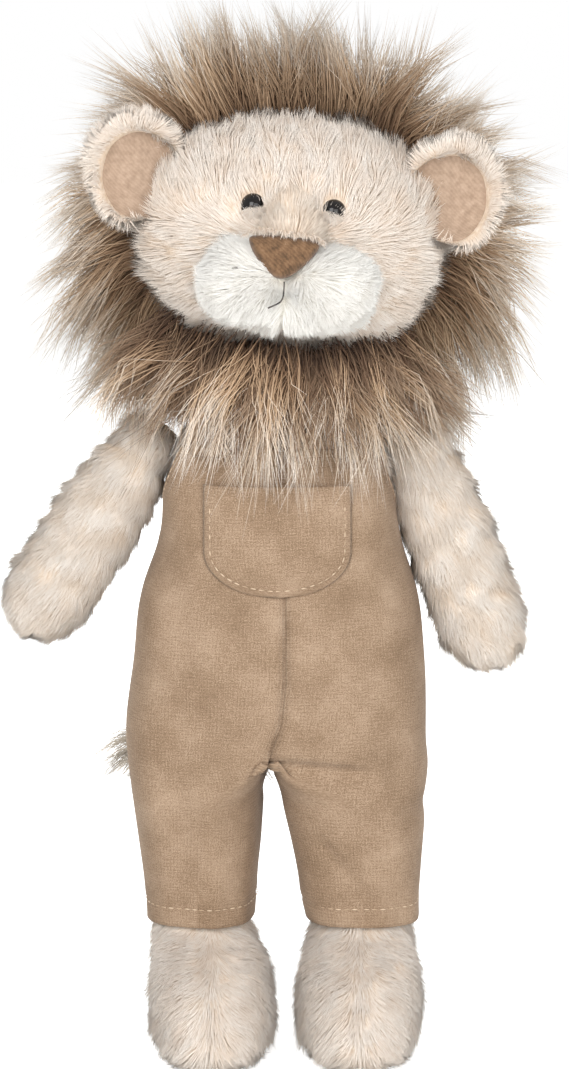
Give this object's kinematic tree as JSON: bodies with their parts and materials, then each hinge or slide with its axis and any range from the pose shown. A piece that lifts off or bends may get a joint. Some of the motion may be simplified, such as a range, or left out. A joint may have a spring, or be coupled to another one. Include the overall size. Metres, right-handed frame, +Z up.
{
  "type": "plush lion",
  "caption": "Standing plush lion with a shaggy mane and beard, cupped ears and linen bib overalls with a front pocket, its limbs, head, ears and tail able to turn.",
  "frame": {"origin": "middle of the bounding box in plan, at the level of the soles", "axes": "+Z up from the soles to the mane, -Y the way that the lion looks, +X the lion's left"},
  "size_m": [0.207, 0.139, 0.3904],
  "materials": {
    "beige_plush": "matte",
    "white_plush": "matte",
    "long_pile": "matte",
    "tan_velour": "matte",
    "linen": "matte",
    "nose_velour": "matte",
    "grey_thread": "matte",
    "black_plastic": "gloss",
    "white_plastic": "satin",
    "polyester_fibre": "matte",
    "plastic_pellets": "satin"
  },
  "bodies": {
    "torso": {"body_skin": "beige_plush", "body_stuffing": "polyester_fibre", "pellet_bag": "plastic_pellets", "overalls_front": "linen", "overalls_back": "linen", "strap_right": "linen", "strap_left": "linen", "pocket": "linen", "lap_fold_right": "linen", "lap_fold_left": "linen"},
    "neck": {"neck_plug": "polyester_fibre"},
    "head": {"face_skin": "beige_plush", "head_back_skin": "long_pile", "head_stuffing": "polyester_fibre", "muzzle": "white_plush", "snout_bridge": "beige_plush", "nose": "nose_velour", "mouth_thread": "grey_thread", "eye_right": "black_plastic", "eye_washer_right": "white_plastic", "eye_left": "black_plastic", "eye_washer_left": "white_plastic", "mane": "long_pile", "beard": "long_pile"},
    "ear_right": {"ear_right_back": "beige_plush", "ear_right_lining": "tan_velour"},
    "ear_left": {"ear_left_back": "beige_plush", "ear_left_lining": "tan_velour"},
    "shoulder_right": {"shoulder_wad_right": "polyester_fibre"},
    "arm_right": {"arm_right_skin": "beige_plush", "arm_right_stuffing": "polyester_fibre"},
    "shoulder_left": {"shoulder_wad_left": "polyester_fibre"},
    "arm_left": {"arm_left_skin": "beige_plush", "arm_left_stuffing": "polyester_fibre"},
    "leg_right": {"leg_right_skin": "beige_plush", "leg_right_stuffing": "polyester_fibre", "foot_right_pellets": "plastic_pellets", "trouser_right": "linen"},
    "leg_left": {"leg_left_skin": "beige_plush", "leg_left_stuffing": "polyester_fibre", "foot_left_pellets": "plastic_pellets", "trouser_left": "linen"},
    "tail": {"tail": "beige_plush", "tail_tuft": "long_pile"}
  },
  "joints": [
    {"name": "head_turn", "type": "hinge", "parent": "torso", "child": "neck", "pos_m": [0.0048, 0.0035, 0.266], "axis": [0, 0, 1], "range_deg": [-40, 40], "stiffness_Nm_per_rad": 0.8, "deforming": ["beard"]},
    {"name": "head_nod", "type": "hinge", "parent": "neck", "child": "head", "pos_m": [0.0048, 0.0035, 0.266], "axis": [1, 0, 0], "range_deg": [-20, 15], "stiffness_Nm_per_rad": 0.8, "deforming": ["beard"]},
    {"name": "arm_right_swing", "type": "hinge", "parent": "torso", "child": "shoulder_right", "pos_m": [-0.04718, 0.0035, 0.235], "axis": [1, 0, 0], "range_deg": [-90, 45], "stiffness_Nm_per_rad": 0.2},
    {"name": "arm_right_raise", "type": "hinge", "parent": "shoulder_right", "child": "arm_right", "pos_m": [-0.04718, 0.0035, 0.235], "axis": [0, 1, 0], "range_deg": [0, 45], "stiffness_Nm_per_rad": 0.2},
    {"name": "arm_left_swing", "type": "hinge", "parent": "torso", "child": "shoulder_left", "pos_m": [0.05677, 0.0035, 0.235], "axis": [1, 0, 0], "range_deg": [-90, 45], "stiffness_Nm_per_rad": 0.2},
    {"name": "arm_left_raise", "type": "hinge", "parent": "shoulder_left", "child": "arm_left", "pos_m": [0.05677, 0.0035, 0.235], "axis": [0, -1, 0], "range_deg": [0, 55], "stiffness_Nm_per_rad": 0.2},
    {"name": "leg_right_swing", "type": "hinge", "parent": "torso", "child": "leg_right", "pos_m": [-0.0257, 0.0005, 0.122], "axis": [1, 0, 0], "range_deg": [-85, 12], "stiffness_Nm_per_rad": 3, "deforming": ["lap_fold_right"]},
    {"name": "leg_left_swing", "type": "hinge", "parent": "torso", "child": "leg_left", "pos_m": [0.0353, 0.0005, 0.122], "axis": [1, 0, 0], "range_deg": [-85, 12], "stiffness_Nm_per_rad": 3, "deforming": ["lap_fold_left"]},
    {"name": "ear_right_fold", "type": "hinge", "parent": "head", "child": "ear_right", "pos_m": [-0.03563, -0.0305, 0.34185], "axis": [0.075, 0, 0.9972], "range_deg": [0, 40], "stiffness_Nm_per_rad": 0.02},
    {"name": "ear_left_fold", "type": "hinge", "parent": "head", "child": "ear_left", "pos_m": [0.05611, -0.0305, 0.33495], "axis": [-0.075, 0, -0.9972], "range_deg": [0, 40], "stiffness_Nm_per_rad": 0.02},
    {"name": "tail_swing", "type": "hinge", "parent": "torso", "child": "tail", "pos_m": [0.0048, 0.0395, 0.136], "axis": [0, 1, 0], "range_deg": [-75, 50], "stiffness_Nm_per_rad": 0.02}
  ]
}
